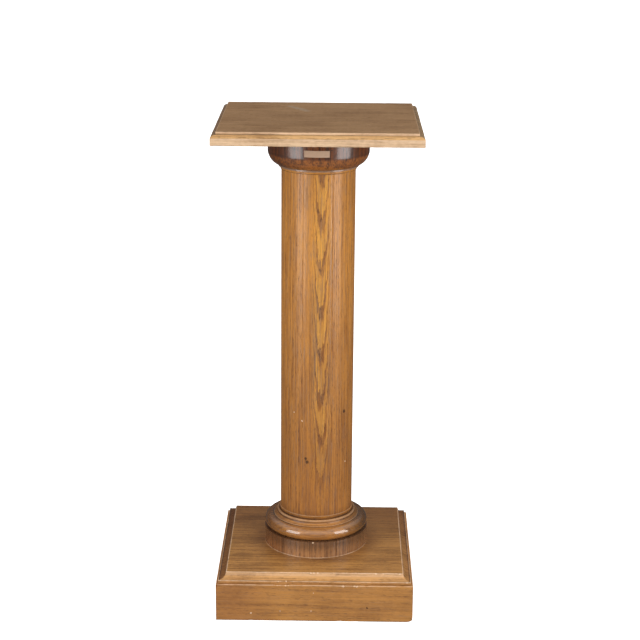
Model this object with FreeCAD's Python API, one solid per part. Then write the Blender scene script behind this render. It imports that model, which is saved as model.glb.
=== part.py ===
import FreeCAD, Part
import math
import os

# Display plinth: a moulded square top on a coopered oak column, with a turned capital and
# foot, on a stepped square base. Millimetres, +Z up, front face towards -Y.
# The origin is the centre of the underside, on the floor.

# ---- Driving dimensions ---------------------------------------------------------------

# Overall
PLINTH_HEIGHT = 763.1            # floor to display surface
TOP_SIZE = 310.0                 # square top, edge to edge
BOX_SIZE = 305.0                 # square box that stands on the floor
SHAFT_DIAMETER = 114.3

# Top: three boards, edge glued, with a fillet and ovolo worked round all four sides
TOP_THICKNESS = 19.5
TOP_OVOLO_WIDTH = 7.0
TOP_OVOLO_HEIGHT = 5.5
TOP_FILLET_SET_BACK = 1.0
TOP_FILLET_HEIGHT = 4.0
TOP_FRONT_BOARD_WIDTH = 90.0
TOP_REAR_BOARD_WIDTH = 90.0

# Capital: fillet, echinus and plain face, bored to slip over the head of the shaft
CAPITAL_PROJECTION = 20.85       # beyond the shaft
CAPITAL_FACE_HEIGHT = 31.5
ECHINUS_HEIGHT = 21.0
ECHINUS_FULLNESS = 0.65          # 0.71 is a quarter-round, 0.5 is a plain bevel
CAPITAL_FILLET_HEIGHT = 2.5
CAPITAL_FILLET_PROJECTION = 4.35
NECK_BAND_HEIGHT = 4.0
BAND_THICKNESS = 1.0             # of the rings at the head and foot of the shaft

# Shaft: bevelled staves round an eight-sided bore
STAVE_COUNT = 8
STAVE_THICKNESS = 20.0           # measured at the middle of a stave
PLUG_THICKNESS = 30.0
UPPER_PLUG_RECESS = 18.0         # from the head of the shaft down to the plug

# Foot: staved drum, torus, then cavetto, fillet and a thin band
DRUM_PROJECTION = 25.05
DRUM_HEIGHT = 26.7
TORUS_PROJECTION = 24.85
TORUS_HEIGHT = 20.0
FOOT_STEP_PROJECTION = 10.35
FOOT_STEP_HEIGHT = 1.0
CAVETTO_HEIGHT = 5.0
FOOT_FILLET_PROJECTION = 4.85
FOOT_FILLET_HEIGHT = 2.9
FOOT_BAND_HEIGHT = 6.0

# Base: board of three pieces, hollowed to a cove round its edge, over a mitred box
BASE_THICKNESS = 14.6
BASE_MARGIN = 3.5                # ledge left on the box round the moulded board
BASE_FACE_HEIGHT = 5.0
BASE_COVE_SET_BACK = 1.2
BASE_COVE_WIDTH = 10.5
BASE_FRONT_BOARD_WIDTH = 60.5
BASE_REAR_BOARD_WIDTH = 117.5
BOX_HEIGHT = 60.3
BOX_BOARD_THICKNESS = 19.0
CORNER_BLOCK_SIZE = 30.0
CORNER_BLOCK_LIFT = 7.2          # above the floor
BEARER_WIDTH = 70.0
BEARER_THICKNESS = 20.0

# Tie rod and fasteners
ROD_DIAMETER = 9.5
ROD_STICK_OUT = 3.0              # past each nut
NUT_WIDTH = 14.3                 # across the flats
NUT_HEIGHT = 8.0
WASHER_DIAMETER = 24.0
WASHER_THICKNESS = 2.0
DOWEL_DIAMETER = 10.0
DOWEL_DEPTH_IN_CAPITAL = 25.0
DOWEL_DEPTH_IN_TOP = 12.0
SCREW_DIAMETER = 4.0
SCREW_HEAD_DIAMETER = 8.0
DRUM_SCREW_LENGTH = 32.0
BEARER_SCREW_LENGTH = 30.0
BEARER_SCREW_INSET = 12.0        # from the bearer's long edges

# Blank label on the front of the capital
LABEL_WIDTH = 38.0
LABEL_HEIGHT = 10.0
LABEL_THICKNESS = 0.4
LABEL_DROP = 19.2                # from the top's underside to the label's upper edge
LABEL_TURN = -1.3                # degrees round from the front

# Clearances, each on the radius or on one face
GLUE_GAP = 0.15                  # collars over the shaft, label on the capital
PLUG_GAP = 0.1
ROD_GAP = 0.25
THREAD_GAP = 0.1
DOWEL_GAP = 0.1
DOWEL_END_GAP = 1.0
SCREW_GAP = 0.1

# ---- Places that follow ---------------------------------------------------------------

shaft_radius = SHAFT_DIAMETER / 2
bore_apothem = shaft_radius - STAVE_THICKNESS
collar_bore = shaft_radius + GLUE_GAP
stave_angle = 360.0 / STAVE_COUNT

base_size = BOX_SIZE - 2 * BASE_MARGIN
base_top = BOX_HEIGHT + BASE_THICKNESS
drum_top = base_top + DRUM_HEIGHT
torus_top = drum_top + TORUS_HEIGHT
top_underside = PLINTH_HEIGHT - TOP_THICKNESS
capital_height = CAPITAL_FILLET_HEIGHT + ECHINUS_HEIGHT + CAPITAL_FACE_HEIGHT
capital_bottom = top_underside - capital_height
capital_radius = shaft_radius + CAPITAL_PROJECTION
foot_fillet_top = torus_top + FOOT_STEP_HEIGHT + CAVETTO_HEIGHT + FOOT_FILLET_HEIGHT
drum_radius = shaft_radius + DRUM_PROJECTION
upper_plug_top = top_underside - UPPER_PLUG_RECESS
bearer_bottom = BOX_HEIGHT - BEARER_THICKNESS
box_inside = BOX_SIZE / 2 - BOX_BOARD_THICKNESS

dowel_circle = (collar_bore + capital_radius) / 2
drum_screw_circle = (collar_bore + drum_radius) / 2


# ---- Helpers --------------------------------------------------------------------------

def save(shape, node):
    shape.exportStep("parts/" + node + ".step")


def vec(x, y, z=0.0):
    return FreeCAD.Vector(x, y, z)


def polar(radius, degrees, z=0.0):
    angle = math.radians(degrees)
    return vec(radius * math.cos(angle), radius * math.sin(angle), z)


def box(x0, x1, y0, y1, z0, z1):
    return Part.makeBox(x1 - x0, y1 - y0, z1 - z0, vec(x0, y0, z0))


def cylinder(radius, z0, z1, x=0.0, y=0.0):
    return Part.makeCylinder(radius, z1 - z0, vec(x, y, z0))


def closed_face(edges):
    return Part.Face(Part.Wire(edges))


def bulge(start, end, outward, fullness=math.sin(math.radians(45))):
    """Middle point of a round between two (across, height) points.

    outward is True for a convex ovolo or echinus and False for a hollow.
    """
    if outward:
        return (end[0] + (start[0] - end[0]) * fullness,
                start[1] + (end[1] - start[1]) * fullness)
    return (start[0] + (end[0] - start[0]) * fullness, end[1] + (start[1] - end[1]) * fullness)


def outline(steps):
    """Edges in the XZ plane through (across, height) points, each joined by a line.

    A step of three values is (across, height, middle), reached by an arc through middle.
    """
    edges = []
    here = steps[0]
    for step in steps[1:]:
        start = vec(here[0], 0, here[1])
        end = vec(step[0], 0, step[1])
        if len(step) == 3:
            middle = vec(step[2][0], 0, step[2][1])
            edges.append(Part.Arc(start, middle, end).toShape())
        else:
            edges.append(Part.makeLine(start, end))
        here = step
    return edges


def turned(steps):
    """Solid of revolution about +Z from a closed outline of (radius, height) steps."""
    face = closed_face(outline(steps + [steps[0][:2]]))
    return face.revolve(vec(0, 0, 0), vec(0, 0, 1), 360)


def moulded_panel(size, edge):
    """Square panel with mitred mouldings.

    edge runs up the right-hand moulding, from the underside to the flat, as outline steps.
    """
    right = outline(edge)
    left = [line.mirror(vec(0, 0), vec(1, 0)) for line in right]
    across = [Part.makeLine(vec(-end[0], 0, end[1]), vec(end[0], 0, end[1]))
              for end in (edge[0], edge[-1])]
    section = closed_face(Part.__sortEdges__(right + left + across))
    section.translate(vec(0, -size / 2))
    along_y = section.extrude(vec(0, size))
    along_x = along_y.copy()
    along_x.rotate(vec(0, 0), vec(0, 0, 1), 90)
    return along_y.common(along_x)


def split_boards(panel, size, front_width, rear_width, z0, z1):
    """Front, middle and rear boards of a panel, parted on its two glue lines."""
    half = size / 2
    lines = [-half, -half + front_width, half - rear_width, half]
    boards = []
    for y0, y1 in zip(lines, lines[1:]):
        boards.append(panel.common(box(-half, half, y0, y1, z0, z1)))
    return boards


def sector(inner_edge, outer_radius, start, end, z0, z1):
    """Wedge of a ring from start to end degrees, with the given inner edge, extruded."""
    edges = [
        inner_edge,
        Part.makeLine(inner_edge.Vertexes[-1].Point, polar(outer_radius, end, z0)),
        Part.Arc(polar(outer_radius, end, z0), polar(outer_radius, (start + end) / 2, z0),
                 polar(outer_radius, start, z0)).toShape(),
        Part.makeLine(polar(outer_radius, start, z0), inner_edge.Vertexes[0].Point)]
    return closed_face(edges).extrude(vec(0, 0, z1 - z0))


def ring_arc(radius, start, end, z):
    middle = polar(radius, (start + end) / 2, z)
    return Part.Arc(polar(radius, start, z), middle, polar(radius, end, z)).toShape()


def prism(sides, across_flats, z0, z1, turn):
    """Upright prism with a regular outline; a flat faces the direction turn, in degrees."""
    step = 360.0 / sides
    radius = across_flats / 2 / math.cos(math.radians(step / 2))
    corners = [polar(radius, turn + step * (i + 0.5), z0) for i in range(sides)]
    face = Part.Face(Part.makePolygon(corners + corners[:1]))
    return face.extrude(vec(0, 0, z1 - z0))


def screw(x, y, z0, length, gap=0.0):
    """Countersunk screw driven upwards from z0; gap widens it into its own hole."""
    shank = SCREW_DIAMETER / 2 + gap
    head = SCREW_HEAD_DIAMETER / 2 + gap
    neck = z0 + head - shank
    tip = z0 + length + gap
    shape = turned([(0, z0), (head, z0), (shank, neck), (shank, tip - shank), (0, tip)])
    shape.translate(vec(x, y, 0))
    return shape


def screws(places, z0, length, gap=0.0):
    return Part.makeCompound([screw(x, y, z0, length, gap) for x, y in places])


def stave_span(index):
    """Start and end angles of a stave; the first is centred on the front."""
    middle = -90 + index * stave_angle
    return middle - stave_angle / 2, middle + stave_angle / 2


# ---- Places of dowels and screws ------------------------------------------------------

def four_round(circle):
    """Four places on a circle, on the diagonals."""
    return [(polar(circle, 45 + 90 * i).x, polar(circle, 45 + 90 * i).y) for i in range(4)]


def bearer_screw_places():
    """A pair of screws into each of the three base boards."""
    half = base_size / 2
    front_line = -half + BASE_FRONT_BOARD_WIDTH
    rear_line = half - BASE_REAR_BOARD_WIDTH
    rows = [(-box_inside + front_line) / 2, (front_line + rear_line) / 2,
            (rear_line + box_inside) / 2]
    across = BEARER_WIDTH / 2 - BEARER_SCREW_INSET
    return [(x, y) for y in rows for x in (-across, across)]


# ---- Sub-parts ------------------------------------------------------------------------

def make_top():
    half = TOP_SIZE / 2
    ovolo_top = PLINTH_HEIGHT - TOP_FILLET_HEIGHT
    low = (half, ovolo_top - TOP_OVOLO_HEIGHT)
    high = (half - TOP_OVOLO_WIDTH, ovolo_top)
    flat = high[0] - TOP_FILLET_SET_BACK
    panel = moulded_panel(TOP_SIZE, [
        (half, top_underside), low, high + (bulge(low, high, True),), (flat, ovolo_top),
        (flat, PLINTH_HEIGHT)])
    holes = dowels(DOWEL_GAP, DOWEL_END_GAP)
    boards = split_boards(panel.cut(holes), TOP_SIZE, TOP_FRONT_BOARD_WIDTH,
                          TOP_REAR_BOARD_WIDTH, top_underside, PLINTH_HEIGHT)
    for board, name in zip(boards, ("front", "middle", "rear")):
        save(board, "top_board_" + name)


def dowels(gap=0.0, end_gap=0.0):
    low = top_underside - DOWEL_DEPTH_IN_CAPITAL - end_gap
    high = top_underside + DOWEL_DEPTH_IN_TOP + end_gap
    radius = DOWEL_DIAMETER / 2 + gap
    return Part.makeCompound([cylinder(radius, low, high, x, y)
                              for x, y in four_round(dowel_circle)])


def make_capital():
    fillet_radius = shaft_radius + CAPITAL_FILLET_PROJECTION
    fillet_top = capital_bottom + CAPITAL_FILLET_HEIGHT
    echinus_top = fillet_top + ECHINUS_HEIGHT
    low = (fillet_radius, fillet_top)
    high = (capital_radius, echinus_top)
    middle = bulge(high, low, True, ECHINUS_FULLNESS)
    block = turned([
        (collar_bore, capital_bottom), (fillet_radius, capital_bottom), low,
        high + (middle,), (capital_radius, top_underside), (collar_bore, top_underside)])
    save(block.cut(dowels(DOWEL_GAP, DOWEL_END_GAP)), "capital")


def make_bands():
    """Thin rings round the head and the foot of the shaft."""
    spans = {"neck": (capital_bottom - NECK_BAND_HEIGHT, capital_bottom),
             "foot": (foot_fillet_top, foot_fillet_top + FOOT_BAND_HEIGHT)}
    for name, (z0, z1) in spans.items():
        outer = cylinder(collar_bore + BAND_THICKNESS, z0, z1)
        save(outer.cut(cylinder(collar_bore, z0, z1)), name + "_band")


def make_shaft():
    inner_radius = bore_apothem / math.cos(math.radians(stave_angle / 2))
    for index in range(STAVE_COUNT):
        start, end = stave_span(index)
        flat = Part.makeLine(polar(inner_radius, start, base_top),
                             polar(inner_radius, end, base_top))
        stave = sector(flat, shaft_radius, start, end, base_top, top_underside)
        save(stave, "shaft_stave_" + str(index + 1))


def make_plugs():
    across = 2 * (bore_apothem - PLUG_GAP)
    rod_hole = cylinder(ROD_DIAMETER / 2 + ROD_GAP, 0, PLINTH_HEIGHT)
    levels = {"lower": base_top, "upper": upper_plug_top - PLUG_THICKNESS}
    for name, z0 in levels.items():
        plug = prism(STAVE_COUNT, across, z0, z0 + PLUG_THICKNESS, -90)
        save(plug.cut(rod_hole), name + "_plug")


def make_tie_rod():
    bottom = bearer_bottom - WASHER_THICKNESS - NUT_HEIGHT - ROD_STICK_OUT
    top = upper_plug_top + WASHER_THICKNESS + NUT_HEIGHT + ROD_STICK_OUT
    save(cylinder(ROD_DIAMETER / 2, bottom, top), "tie_rod")


def make_nuts_and_washers():
    """One washer and one nut at each end of the rod, the nut outermost."""
    nuts = []
    washers = []
    upper_washer = upper_plug_top
    lower_washer = bearer_bottom - WASHER_THICKNESS
    upper_nut = upper_washer + WASHER_THICKNESS
    lower_nut = lower_washer - NUT_HEIGHT
    for z0 in (lower_washer, upper_washer):
        disc = cylinder(WASHER_DIAMETER / 2, z0, z0 + WASHER_THICKNESS)
        hole = cylinder(ROD_DIAMETER / 2 + ROD_GAP, z0, z0 + WASHER_THICKNESS)
        washers.append(disc.cut(hole))
    for z0 in (lower_nut, upper_nut):
        blank = prism(6, NUT_WIDTH, z0, z0 + NUT_HEIGHT, 0)
        hole = cylinder(ROD_DIAMETER / 2 + THREAD_GAP, z0, z0 + NUT_HEIGHT)
        nuts.append(blank.cut(hole))
    save(Part.makeCompound(nuts), "rod_nuts")
    save(Part.makeCompound(washers), "rod_washers")


def make_foot_fillet():
    step_radius = shaft_radius + FOOT_STEP_PROJECTION
    fillet_radius = shaft_radius + FOOT_FILLET_PROJECTION
    step_top = torus_top + FOOT_STEP_HEIGHT
    cavetto_top = step_top + CAVETTO_HEIGHT
    low = (step_radius, step_top)
    high = (fillet_radius, cavetto_top)
    middle = bulge(low, high, False)
    ring = turned([
        (collar_bore, torus_top), (step_radius, torus_top), low, high + (middle,),
        (fillet_radius, foot_fillet_top), (collar_bore, foot_fillet_top)])
    save(ring, "foot_fillet")


def make_torus():
    tube = TORUS_HEIGHT / 2
    widest = shaft_radius + TORUS_PROJECTION
    centre = widest - tube
    ring = turned([
        (collar_bore, drum_top), (centre, drum_top),
        (centre, torus_top, (widest, drum_top + tube)), (collar_bore, torus_top)])
    save(ring, "torus_ring")


def make_drum():
    places = four_round(drum_screw_circle)
    holes = screws(places, BOX_HEIGHT, DRUM_SCREW_LENGTH, SCREW_GAP)
    for index in range(STAVE_COUNT):
        start, end = stave_span(index)
        inner = ring_arc(collar_bore, start, end, base_top)
        stave = sector(inner, drum_radius, start, end, base_top, drum_top)
        save(stave.cut(holes), "drum_stave_" + str(index + 1))
    save(screws(places, BOX_HEIGHT, DRUM_SCREW_LENGTH), "drum_screws")


def make_base_boards():
    half = base_size / 2
    face_top = BOX_HEIGHT + BASE_FACE_HEIGHT
    low = (half - BASE_COVE_SET_BACK, face_top)
    flat = (low[0] - BASE_COVE_WIDTH, base_top)
    panel = moulded_panel(base_size, [
        (half, BOX_HEIGHT), (half, face_top), low, flat + (bulge(low, flat, False),)])
    panel = panel.cut(cylinder(ROD_DIAMETER / 2 + ROD_GAP, 0, PLINTH_HEIGHT))
    panel = panel.cut(screws(four_round(drum_screw_circle), BOX_HEIGHT, DRUM_SCREW_LENGTH,
                             SCREW_GAP))
    panel = panel.cut(screws(bearer_screw_places(), bearer_bottom, BEARER_SCREW_LENGTH,
                             SCREW_GAP))
    boards = split_boards(panel, base_size, BASE_FRONT_BOARD_WIDTH, BASE_REAR_BOARD_WIDTH,
                          BOX_HEIGHT, base_top)
    for board, name in zip(boards, ("front", "middle", "rear")):
        save(board, "base_board_" + name)


def make_box_boards():
    """Four boards on edge, mitred at the corners."""
    half = BOX_SIZE / 2
    corners = [vec(-half, -half), vec(half, -half), vec(box_inside, -box_inside),
               vec(-box_inside, -box_inside)]
    for name, turn in (("front", 0), ("right", 90), ("back", 180), ("left", 270)):
        board = Part.Face(Part.makePolygon(corners + corners[:1])).extrude(vec(0, 0, BOX_HEIGHT))
        board.rotate(vec(0, 0, 0), vec(0, 0, 1), turn)
        save(board, "plinth_board_" + name)


def make_corner_blocks():
    """Glue blocks in the box's corners, up against the underside of the base boards."""
    inner = box_inside - CORNER_BLOCK_SIZE
    for name, turn in (("front_right", 0), ("back_right", 90), ("back_left", 180),
                       ("front_left", 270)):
        block = box(inner, box_inside, -box_inside, -inner, CORNER_BLOCK_LIFT, BOX_HEIGHT)
        block.rotate(vec(0, 0, 0), vec(0, 0, 1), turn)
        save(block, "corner_block_" + name)


def make_bearer():
    """Batten across the base boards' glue lines, from the front of the box to the back."""
    half = BEARER_WIDTH / 2
    places = bearer_screw_places()
    batten = box(-half, half, -box_inside, box_inside, bearer_bottom, BOX_HEIGHT)
    batten = batten.cut(cylinder(ROD_DIAMETER / 2 + ROD_GAP, 0, BOX_HEIGHT))
    batten = batten.cut(screws(places, bearer_bottom, BEARER_SCREW_LENGTH, SCREW_GAP))
    save(batten, "base_bearer")
    save(screws(places, bearer_bottom, BEARER_SCREW_LENGTH), "bearer_screws")


def make_label():
    inner_radius = capital_radius + GLUE_GAP
    half_angle = math.degrees(LABEL_WIDTH / 2 / inner_radius)
    start = -90 + LABEL_TURN - half_angle
    end = -90 + LABEL_TURN + half_angle
    top = top_underside - LABEL_DROP
    inner = ring_arc(inner_radius, start, end, top - LABEL_HEIGHT)
    save(sector(inner, inner_radius + LABEL_THICKNESS, start, end, top - LABEL_HEIGHT, top),
         "blank_label")


os.makedirs("parts", exist_ok=True)
make_top()
save(dowels(), "top_dowels")
make_capital()
make_bands()
make_shaft()
make_plugs()
make_tie_rod()
make_nuts_and_washers()
make_foot_fillet()
make_torus()
make_drum()
make_base_boards()
make_box_boards()
make_corner_blocks()
make_bearer()
make_label()
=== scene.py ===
import math

import bmesh
import bpy
from bpy.props import FloatProperty, FloatVectorProperty, IntProperty, PointerProperty
from mathutils import Matrix, Vector, noise


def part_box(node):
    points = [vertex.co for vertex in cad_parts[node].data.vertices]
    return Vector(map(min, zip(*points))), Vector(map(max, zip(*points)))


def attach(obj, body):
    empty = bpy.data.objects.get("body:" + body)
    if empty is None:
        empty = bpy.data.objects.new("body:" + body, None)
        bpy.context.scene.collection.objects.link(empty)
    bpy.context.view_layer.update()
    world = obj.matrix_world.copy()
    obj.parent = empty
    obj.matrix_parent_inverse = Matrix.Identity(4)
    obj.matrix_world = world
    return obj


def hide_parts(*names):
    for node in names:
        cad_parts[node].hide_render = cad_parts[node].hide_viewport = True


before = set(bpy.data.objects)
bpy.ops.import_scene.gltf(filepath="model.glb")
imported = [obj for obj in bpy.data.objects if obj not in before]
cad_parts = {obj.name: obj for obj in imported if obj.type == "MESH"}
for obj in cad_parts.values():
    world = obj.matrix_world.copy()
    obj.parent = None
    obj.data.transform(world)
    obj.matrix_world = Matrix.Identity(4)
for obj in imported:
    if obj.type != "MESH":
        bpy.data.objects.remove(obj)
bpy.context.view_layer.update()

bl_info = {
    "name": "Oak display plinth",
    "version": (1, 0, 0),
    "blender": (4, 5, 0),
    "location": "3D View > Sidebar > Plinth",
    "description": "Builds a coopered oak display plinth around its packed frame",
    "category": "Add Mesh",
}

UP = Vector((0, 0, 1))
CENTRE = Vector((0, 0, 0))
X, Y, Z = range(3)
STAVES = 8
FULL_TURN = 2 * math.pi
CLOSE = 1e-6                     # nearer than this is the same place
GLUE_GAP = 0.00015               # inside the collars and under the label
STAVE_CELL = 0.02                # spacing of the cuts across a shaft stave
PORE_DEPTH = 0.00025             # of the bump that draws pores and fibres
BOARD_CHIP = 0.0005              # depth of the chips in the top and the base
BOX_CHIP = 0.0007
SHARP = math.radians(32)         # edges that turn by more are shaded sharp
ROUNDED = math.radians(28)       # convex edges that turn by more are softened
MITRE = (-0.001, 0.001)          # where a tint changes sides at a corner
WOOD_IOR = 1.34
COAT_IOR = 1.68
SENSOR_WIDTH = 36.0              # of the camera, in millimetres


# ---- The frame's sizes, in metres -----------------------------------------------------

def span(*nodes):
    """Lowest and highest corner round several nodes of the frame."""
    boxes = [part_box(node) for node in nodes]
    low = Vector([min(b[0][i] for b in boxes) for i in range(3)])
    high = Vector([max(b[1][i] for b in boxes) for i in range(3)])
    return low, high


TOP_BOARDS = ("top_board_front", "top_board_middle", "top_board_rear")
BASE_BOARDS = ("base_board_front", "base_board_middle", "base_board_rear")
BOX_BOARDS = ("plinth_board_front", "plinth_board_right", "plinth_board_back",
              "plinth_board_left")
TOP = span(*TOP_BOARDS)
BASE = span(*BASE_BOARDS)
BOX = span(*BOX_BOARDS)
CAPITAL = span("capital")
NECK = span("neck_band")
SHAFT = span(*["shaft_stave_%d" % (i + 1) for i in range(STAVES)])
DRUM = span(*["drum_stave_%d" % (i + 1) for i in range(STAVES)])
TORUS = span("torus_ring")
FOOT = span("foot_fillet")
LABEL = span("blank_label")
SHAFT_RADIUS = -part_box("shaft_stave_1")[0].y
DRUM_RADIUS = -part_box("drum_stave_1")[0].y
CAPITAL_RADIUS = CAPITAL[1].x
TORUS_RADIUS = TORUS[1].x
STEP_RADIUS = FOOT[1].x
NECK_RADIUS = -NECK[0].y
BAND = span("foot_band")
BAND_RADIUS = -BAND[0].y
BORE = SHAFT_RADIUS + GLUE_GAP


# ---- Settings -------------------------------------------------------------------------

def amount(name, default, description, **options):
    """A number that is not negative."""
    return FloatProperty(name=name, default=default, description=description, min=0.0,
                         **options)


def length(name, default, description):
    return amount(name, default, description, subtype="DISTANCE", unit="LENGTH",
                  precision=5)


def share(name, default, description):
    return amount(name, default, description, max=1.0, subtype="FACTOR")


def bearing(name, degrees, description):
    return FloatProperty(name=name, default=math.radians(degrees),
                         description=description, subtype="ANGLE")


def colour(name, default, description):
    return FloatVectorProperty(name=name, default=default, description=description,
                               size=3, min=0.0, max=1.0, subtype="COLOR")


class PlinthBoardSizes(bpy.types.PropertyGroup):
    """Mouldings and arrises of the top, the base board and the box"""

    top_ovolo_width: length("Top ovolo width", 0.007, "How far the ovolo comes in")
    top_ovolo_height: length("Top ovolo height", 0.0055, "Height of the ovolo")
    top_set_back: length("Top set-back", 0.001, "Step between ovolo and fillet")
    top_fillet: length("Top fillet", 0.004, "Height of the fillet above the ovolo")
    base_face: length("Base face", 0.005, "Height of the plain face under the cove")
    base_set_back: length("Base set-back", 0.0012, "Step between the face and the cove")
    base_cove: length("Base cove width", 0.0105, "How far the cove comes in")
    arris: length("Arris", 0.0007, "Rounding of the worked edges")
    box_arris: length("Box arris", 0.0011, "Rounding of the box's edges")
    worn_corner: length("Worn corner", 0.009, "Reach of the worn foot at the right front")
    cell: length("Mesh cell", 0.004, "Spacing of the cuts that let wear shape the boards")
    ripple: length("Ripple", 0.00012, "Unevenness left by planing and years of rubbing")
    nibble: length("Edge wear", 0.0007, "Depth of the small losses along an arris")


class PlinthTurningSizes(bpy.types.PropertyGroup):
    """Profiles of the turned pieces and joints of the staved ones"""

    capital_fillet: length("Capital fillet", 0.0025, "Height of the fillet under the echinus")
    capital_fillet_radius: length("Capital fillet radius", 0.0615, "Radius of that fillet")
    echinus: length("Echinus", 0.021, "Height of the echinus")
    echinus_fullness: FloatProperty(name="Echinus fullness", default=0.65, min=0.5, max=0.9,
                                    description="0.71 is a quarter-round, 0.5 a bevel")
    torus_tube: length("Torus half height", 0.01, "Radius of the torus's round")
    step_height: length("Step height", 0.001, "Height of the step at the cavetto's foot")
    cavetto: length("Cavetto", 0.005, "Height of the hollow above the step")
    foot_fillet_radius: length("Foot fillet radius", 0.062, "Radius of the fillet at the shaft")
    arris: length("Arris", 0.0005, "Rounding of the turned edges")
    stave_arris: length("Stave arris", 0.00022, "Easing of the long edges at a glue joint")
    stave_thickness: length("Stave thickness", 0.02, "Thickness at the middle of a stave")
    label_thickness: length("Label thickness", 0.0004, "Thickness of the paper")
    turns: IntProperty(name="Turning facets", default=144, min=24,
                       description="Faces round a full turning")
    arc_cuts: IntProperty(name="Stave facets", default=14, min=4,
                          description="Faces across the round of one stave")


class PlinthFinish(bpy.types.PropertyGroup):
    """Colours and gloss of the woods, the paper and the steel"""

    shaft_pale: colour("Shaft, pale", (0.66, 0.28, 0.055), "Late wood of the shaft")
    shaft_deep: colour("Shaft, deep", (0.33, 0.125, 0.03), "Early wood of the shaft")
    flame_bright: colour("Flame", (0.78, 0.37, 0.07), "Bright fill of the flame figure")
    flame_dark: colour("Flame, dark", (0.26, 0.14, 0.07), "Open-pored wedges of the flame")
    capital_pale: colour("Capital, pale", (0.40, 0.13, 0.025), "Late wood of the capital")
    capital_deep: colour("Capital, deep", (0.15, 0.05, 0.012), "Early wood of the capital")
    foot_pale: colour("Foot, pale", (0.46, 0.19, 0.040), "Late wood of torus and fillet")
    foot_deep: colour("Foot, deep", (0.20, 0.08, 0.03), "Early wood of torus and fillet")
    drum_pale: colour("Drum, pale", (0.42, 0.20, 0.078), "Late wood of the drum")
    drum_deep: colour("Drum, deep", (0.17, 0.075, 0.033), "Early wood of the drum")
    top_pale: colour("Top, pale", (0.80, 0.55, 0.34), "Late wood of the top")
    top_deep: colour("Top, deep", (0.50, 0.31, 0.17), "Early wood of the top")
    cove_pale: colour("Cove, pale", (0.64, 0.375, 0.185), "Late wood of the base boards")
    cove_deep: colour("Cove, deep", (0.34, 0.185, 0.085), "Early wood of the base boards")
    base_pale: colour("Base, pale", (0.53, 0.24, 0.064), "Late wood of the box")
    base_deep: colour("Base, deep", (0.25, 0.105, 0.033), "Early wood of the box")
    pore: colour("Pores", (0.05, 0.028, 0.018), "Dark filling of the open pores")
    ash: colour("Ash", (0.42, 0.23, 0.11), "Greyer threads of aged wood")
    raw: colour("Worn wood", (0.82, 0.58, 0.38), "Bare wood where the finish has gone")
    # Besides dirt and dark stains, this colour paints shade in creases, under bands and under
    # overhangs
    grime_and_shade: colour("Grime", (0.035, 0.018, 0.011), "Old wax and dust in the quirks")
    bloom: colour("Bloom", (0.48, 0.38, 0.28), "Pale marks and old knocks")
    paper: colour("Label paper", (0.62, 0.42, 0.285), "Aged paper of the blank label")
    pine: colour("Pine", (0.60, 0.40, 0.20), "Unfinished wood of the hidden pieces")
    steel: colour("Steel", (0.42, 0.42, 0.43), "Rod, nuts, washers and screws")
    satin: share("Satin roughness", 0.40, "Roughness of the boards and the shaft")
    gloss: share("Gloss roughness", 0.20, "Roughness of the turned pieces")
    varnish: share("Varnish", 0.15, "Weight of the clear coat")


class PlinthStage(bpy.types.PropertyGroup):
    """Floor, light and camera"""

    floor_colour: colour("Floor", (0.9, 0.9, 0.9), "Plain pale floor")
    floor_glow: amount("Floor lift", 0.95, "Even light of the floor, so that it stays pale")
    ambient: amount("Ambient", 0.07, "Even light from all round")
    bounce: amount("Bounce", 0.22, "Light that comes back up from the studio floor")
    front: amount("Front fill", 0.7, "Broad light from the front, above eye level")
    overhead: amount("Overhead", 0.75, "Light from the studio's ceiling")
    left_power: amount("Left softbox", 16.5, "Power of the softbox on the left",
                       unit="POWER")
    right_power: amount("Right softbox", 18.0, "Power of the softbox on the right",
                        unit="POWER")
    left_angle: bearing("Left angle", -51, "Left softbox's place, round from the front")
    right_angle: bearing("Right angle", 58, "Right softbox's place, round from the front")
    box_distance: length("Softbox distance", 1.7, "From the plinth's axis")
    box_level: length("Softbox level", 0.66, "Height of the softboxes' middles")
    box_width: length("Softbox width", 0.95, "Width of each softbox")
    box_height: length("Softbox height", 1.3, "Height of each softbox")
    eye: FloatVectorProperty(name="Camera place", default=(0.02939, -2.58472, 1.16939),
                             description="Where the camera stands", subtype="TRANSLATION",
                             unit="LENGTH")
    heading: bearing("Heading", -0.564, "Turn of the view from straight ahead")
    tilt: bearing("Tilt", 15.70, "How far the camera looks down")
    roll: bearing("Roll", 0.45, "Lean of the camera")
    lens: FloatProperty(name="Focal length", default=96.35, min=1.0, unit="CAMERA",
                        description="Focal length on a 36 mm frame")


# ---- Shader expressions ---------------------------------------------------------------

class Wire:
    """A shader socket; arithmetic on wires adds the Math nodes that work it out."""

    def __init__(self, recipe, socket):
        self.recipe = recipe
        self.socket = socket

    def maths(self, operation, *values):
        return self.recipe.node("ShaderNodeMath", {"operation": operation},
                                dict(enumerate(values)))

    def __add__(self, other):
        return self.maths("ADD", self, other)

    __radd__ = __add__

    def __sub__(self, other):
        return self.maths("SUBTRACT", self, other)

    def __rsub__(self, other):
        return self.maths("SUBTRACT", other, self)

    def __mul__(self, other):
        return self.maths("MULTIPLY", self, other)

    __rmul__ = __mul__

    def __truediv__(self, other):
        return self.maths("DIVIDE", self, other)

    def __rtruediv__(self, other):
        return self.maths("DIVIDE", other, self)

    def __pow__(self, other):
        return self.maths("POWER", self, other)

    def __neg__(self):
        return self.maths("MULTIPLY", self, -1.0)

    def __abs__(self):
        return self.maths("ABSOLUTE", self)

    def root(self):
        return self.maths("SQRT", self)

    def fraction(self):
        return self.maths("FRACT", self)

    def larger(self, other):
        return self.maths("MAXIMUM", self, other)

    def smaller(self, other):
        return self.maths("MINIMUM", self, other)

    def rise(self, low, high):
        """0 below low, 1 above high and a smooth step between them."""
        return self.recipe.node(
            "ShaderNodeMapRange", {"interpolation_type": "SMOOTHSTEP"},
            {"Value": self, "From Min": low, "From Max": high})


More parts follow.
